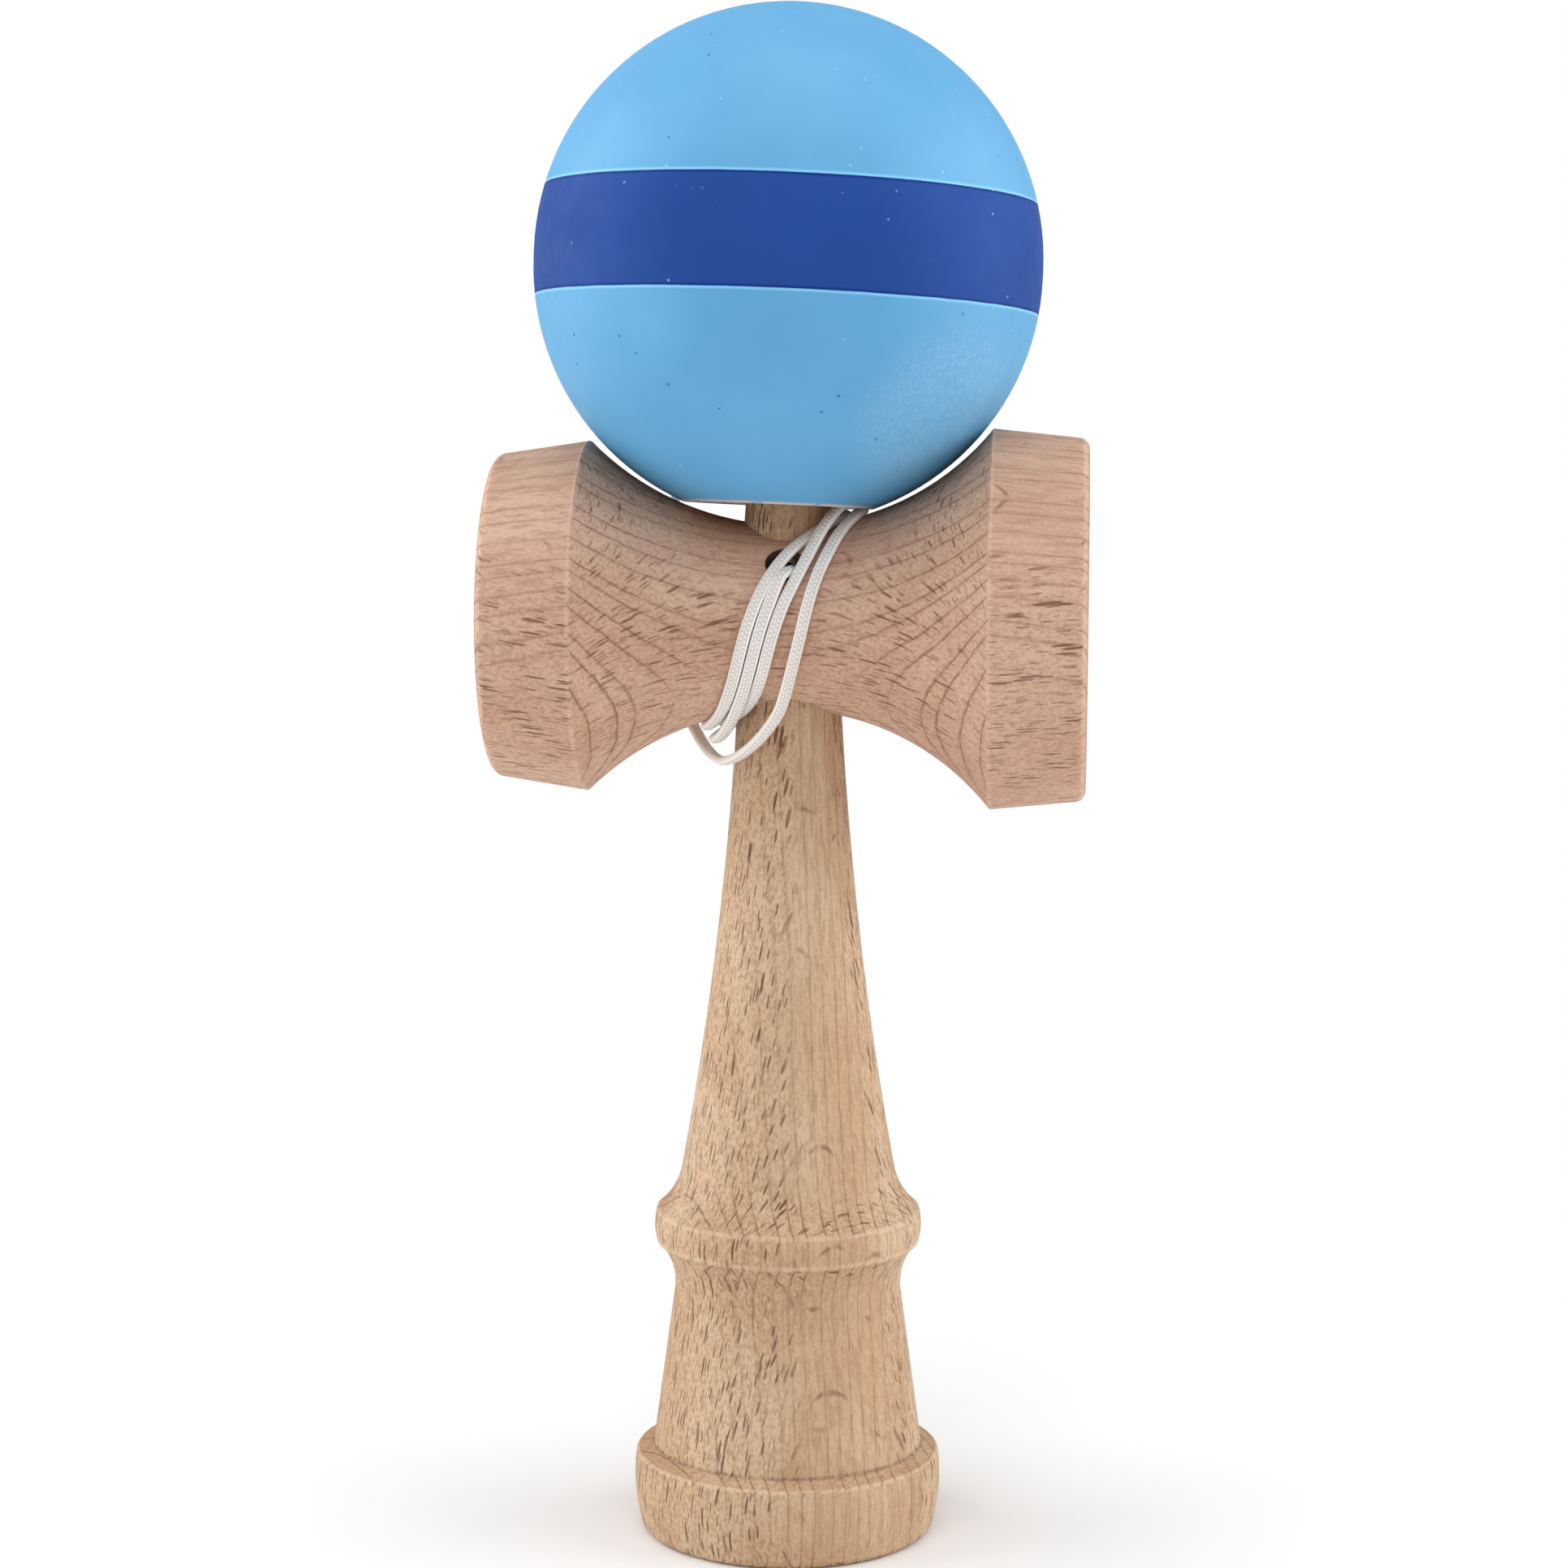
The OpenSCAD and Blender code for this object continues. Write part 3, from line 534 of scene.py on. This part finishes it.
def ball_paint():
    """Light blue with a masked darker stripe, and bare wood in the hole."""
    m = Nodes("ball_paint")
    q = m.vector("SUBTRACT", m.object_point(), BALL_AT * MM)
    h = m.dot(q, BALL_AXIS)
    reach = m.vector("LENGTH", q)
    side = m.math("SQRT", m.most(m.minus(m.times(reach, reach), m.times(h, h)), 0.0))
    # the paint stands up a little along the stripe's two edges
    masked = m.add(h, m.sway(q, 260, 2, 0.00012))
    stripe = m.times(m.step(masked, STRIPE_LOW - STRIPE_SOFT, STRIPE_LOW + STRIPE_SOFT),
                     m.step(masked, STRIPE_TOP + STRIPE_SOFT, STRIPE_TOP - STRIPE_SOFT))
    ridge = m.step(m.least(m.size(m.minus(masked, STRIPE_LOW)), m.size(m.minus(masked, STRIPE_TOP))),
                   RIDGE_W, RIDGE_CORE)
    cloud = m.step(m.noise(q, 60, 3), 0.3, 0.7)
    sky = m.mix(cloud, srgb(91, 163, 210), srgb(98, 170, 216))
    # painted highlight on the light blue side of the stripe's edges, and painted shade on the navy side
    sky = m.mix(m.times(ridge, 0.75), sky, srgb(136, 208, 248))
    navy = m.mix(cloud, srgb(32, 71, 145), srgb(36, 76, 152))
    navy = m.mix(m.times(ridge, 0.8), navy, srgb(12, 42, 124))

    def spots(scale, end, full, channel, rare):
        cell = m.cells(q, scale)
        return m.times(m.step(cell["Distance"], end, full),
                       m.step(m.split(cell["Color"])[channel], rare, rare + 0.005))

    pinholes = spots(520, 0.13, 0.07, 0, 0.9)
    dust = spots(900, 0.2, 0.08, 1, 0.95)
    # painted reflection of a glint on one low patch, which handling has also scuffed pale
    glint_patch = m.step(m.dot(m.vector("NORMALIZE", q), GLINT_AND_SCUFF_TOWARDS), 0.9, 0.985)
    scuff_and_glint = m.times(glint_patch, m.step(m.noise(q, 1500, 3, 0.65), 0.36, 0.76, 0.2, 0.7))
    # the mouth's edge is rubbed down to the wood here and there, and the hole is bare
    worn = m.times(m.step(side, *LIP_R), m.step(h, *LIP_H), m.step(m.noise(q, 700, 3, 0.6), 0.34, 0.5, 0.25, 0.9))
    grain = m.noise(m.join(m.dot(q, (1, 0, 0)), m.times(h, 0.08), m.dot(q, (0, 1, 0))), 2600, 3)
    wood = m.mix(m.step(grain, 0.3, 0.7), srgb(206, 168, 140), srgb(176, 132, 104))
    inside = m.times(m.step(m.minus(side, m.times(m.minus(h, MOUTH_H), HOLE_TAPER)), *MOUTH_R),
                     m.step(h, *SINK_H))
    colour = m.coats(
        m.mix(stripe, sky, navy),
        (m.times(pinholes, 0.75), srgb(36, 84, 138)),
        (m.times(dust, 0.45), srgb(176, 214, 240)),
        (m.times(scuff_and_glint, 0.45), srgb(176, 208, 230)),
        (worn, srgb(222, 204, 196)),
        (inside, wood))
    m.fill(m.bsdf, {"Base Color": colour, "Roughness": m.step(m.noise(q, 420, 3), 0.3, 0.7, 0.46, 0.58),
                    "Specular IOR Level": m.step(stripe, 0.0, 1.0, 0.34, 0.1)})
    peel = m.noise(q, 1500, 3, 0.55)
    m.relief(m.weigh((peel, 0.22), (ridge, 0.35), (pinholes, -1.0)), 0.35, 0.00010)
    return m


STITCH_L = 0.56


def braid():
    """A flat braid: smooth borders, painted pale as a highlight, and two rows of short stitches along the middle.
    """
    m = Nodes("string_braid")
    round_share, run, _ = m.split(m.node("ShaderNodeUVMap", uv_map="braid").outputs[0])
    # across runs from -1 to 1 over the string's width
    across = m.math("COSINE", m.times(round_share, 2 * math.pi))
    reach = m.size(across)
    row = m.times(m.step(across, -0.04, 0.04), math.pi)
    wave = m.math("SINE", m.add(m.times(run, 2 * math.pi / STITCH_L), row))
    stitch = m.times(m.step(wave, -0.5, 0.5), m.step(reach, 0.02, 0.14), m.step(reach, 0.6, 0.46))
    seam = m.times(m.step(reach, 0.46, 0.54), m.step(reach, 0.66, 0.58))
    border = m.step(reach, 0.54, 0.66)
    yarn = m.noise(m.join(m.times(round_share, 30.0), m.times(run, 9.0), 0.0), 1.0, 3, 0.6)
    colour = m.coats(
        m.mix(stitch, srgb(226, 219, 211), srgb(250, 246, 240)),
        # painted highlight on the rounded borders
        (border, srgb(255, 252, 246)),
        (m.times(seam, 0.35), srgb(190, 178, 168)),
        (m.step(yarn, 0.45, 0.75, 0.0, 0.12), srgb(196, 186, 176)))
    m.fill(m.bsdf, {"Base Color": colour, "Roughness": 0.72, "Specular IOR Level": 0.25, "Sheen Weight": 0.15})
    m.relief(m.weigh((stitch, 1.0), (border, 1.2), (yarn, 0.3)), 0.6, 0.00010)
    return m


def dress(obj, m):
    obj.data.materials.clear()
    obj.data.materials.append(m.mat)


# The floor is paper near the part, where its shadow falls, and plain white to the camera further out.
FLOOR_HALF = 3
FLOOR_FADE = (0.03, 0.16)


def add_floor():
    mesh = bpy.data.meshes.new("floor")
    mesh.from_pydata([(x * FLOOR_HALF, y * FLOOR_HALF, 0) for x, y in ((-1, -1), (1, -1), (1, 1), (-1, 1))],
                     [], [(0, 1, 2, 3)])
    obj = bpy.data.objects.new("floor", mesh)
    scene.collection.objects.link(obj)
    paper = Nodes("floor_paper")
    paper.fill(paper.bsdf, {"Base Color": (0.9, 0.9, 0.9, 1), "Roughness": 0.9})
    far = paper.step(paper.vector("LENGTH", paper.object_point()), *FLOOR_FADE)
    sheet = paper.node("ShaderNodeMixShader")
    for socket, value in zip(sheet.inputs, (
            paper.times(far, paper.node("ShaderNodeLightPath").outputs["Is Camera Ray"]),
            paper.bsdf.outputs[0], paper.node("ShaderNodeEmission").outputs[0])):
        paper.link(value, socket)
    paper.link(sheet.outputs[0], paper.out.inputs["Surface"])
    dress(obj, paper)
    return obj


# The world gives soft light, and is white to the camera.
SOFT_LIGHT, SOFT_STRENGTH = (0.96, 0.98, 1.0, 1), 0.42
WHITE = (1, 1, 1, 1)


def add_world():
    world = bpy.data.worlds.new("studio")
    scene.world = world
    world.use_nodes = True
    tree = world.node_tree
    tree.nodes.clear()
    mix = tree.nodes.new("ShaderNodeMixShader")
    tree.links.new(tree.nodes.new("ShaderNodeLightPath").outputs["Is Camera Ray"], mix.inputs[0])
    for socket, colour, strength in ((mix.inputs[1], SOFT_LIGHT, SOFT_STRENGTH), (mix.inputs[2], WHITE, 1.0)):
        sky = tree.nodes.new("ShaderNodeBackground")
        sky.inputs["Color"].default_value = colour
        sky.inputs["Strength"].default_value = strength
        tree.links.new(sky.outputs[0], socket)
    tree.links.new(mix.outputs[0], tree.nodes.new("ShaderNodeOutputWorld").inputs["Surface"])


def lamp(name, at, aim, size, power):
    data = bpy.data.lights.new(name, "AREA")
    data.size = size
    data.energy = power
    obj = bpy.data.objects.new(name, data)
    obj.location = at
    obj.rotation_euler = (Vector(aim) - Vector(at)).to_track_quat("-Z", "Y").to_euler()
    scene.collection.objects.link(obj)


add_camera()
path = string_path()
lengths = [0.0]
for a, b in zip(path, path[1:]):
    lengths.append(lengths[-1] + (b - a).length)
string = add_string(path, lengths)

ken_wood = beech(
    "handle_beech", grain=(0, 0, 1), radial=(-0.839, -0.545, 0),
    tones=((200, 165, 131), (218, 190, 158), (168, 126, 94), (98, 57, 34)),
    layers=(-17, -15.1, -13.4, -11.2, -9.6, -6.8, -4.9, -3.1, -1.6, 0.2, 1.8, 4.1, 5.6, 7.2, 9.3, 10.9, 12.2,
            13.8, 16.6),
    bend=6.0, lines=0.2, rays=0.86, tilt=0.05, speckle=0.5, busy=1.0,
    edges=(BASE_EDGE, RING_TOP_EDGE, RING_LOW_EDGE), shaded_creases=(LEDGE_CORNER,))
sarado_wood = beech(
    "crosspiece_beech", grain=(1, 0, 0), radial=(0, -0.766, -0.643), centre=CROSS * MM, shift=0.013,
    tones=((203, 163, 137), (217, 180, 155), (168, 121, 97), (112, 60, 42)),
    layers=(-20.5, -18, -15.8, -12.1, -10.9, -7.9, -6.4, -3.2, -1.4, 2.1, 4, 6.5, 8.9, 10.1, 11.9, 13.5, 15.6,
            16.8, 19, 21.3),
    bend=1.5, lines=0.26, rays=0.78, tilt=0.02, speckle=0.4, busy=0.7,
    edges=(BIG_EDGE, SMALL_EDGE, BIG_RIM, SMALL_RIM), bore=(PORT_AXIS, PORT_R * MM))
bead_wood = beech(
    "bead_beech", grain=(0, 0, 1), radial=(1, 0, 0), shift=0.03,
    tones=((200, 160, 122), (212, 175, 136), (178, 135, 100), (120, 80, 54)),
    layers=(-2.2, 0.5, 3.0), bend=7.0, lines=0.3, rays=0.8, tilt=0.0, speckle=0.5, busy=0.8)
string_braid = braid()
for node, look in (("ken", ken_wood), ("sarado", sarado_wood), ("tama", ball_paint()), ("string_bead", bead_wood),
                   ("string_ken_knot", string_braid), ("string_tama_knot", string_braid)):
    dress(nodes[node], look)
dress(string, string_braid)
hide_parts("string_lead", "string_wraps", "string_hang", "string_rise", "string_tail")
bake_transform(string)

floor = add_floor()
add_world()
lamp("key", (-0.15, -0.80, 0.85), (0, 0, 0.11), 0.8, 2.6)
lamp("left", (-0.75, 0.02, 0.34), (0, 0, 0.12), 0.9, 5.4)
lamp("right", (0.75, 0.02, 0.34), (0, 0, 0.12), 0.9, 5.2)
lamp("top", (0, -0.1, 1.1), (0, 0, 0.1), 0.6, 3.6)

scene.view_settings.view_transform = "Standard"
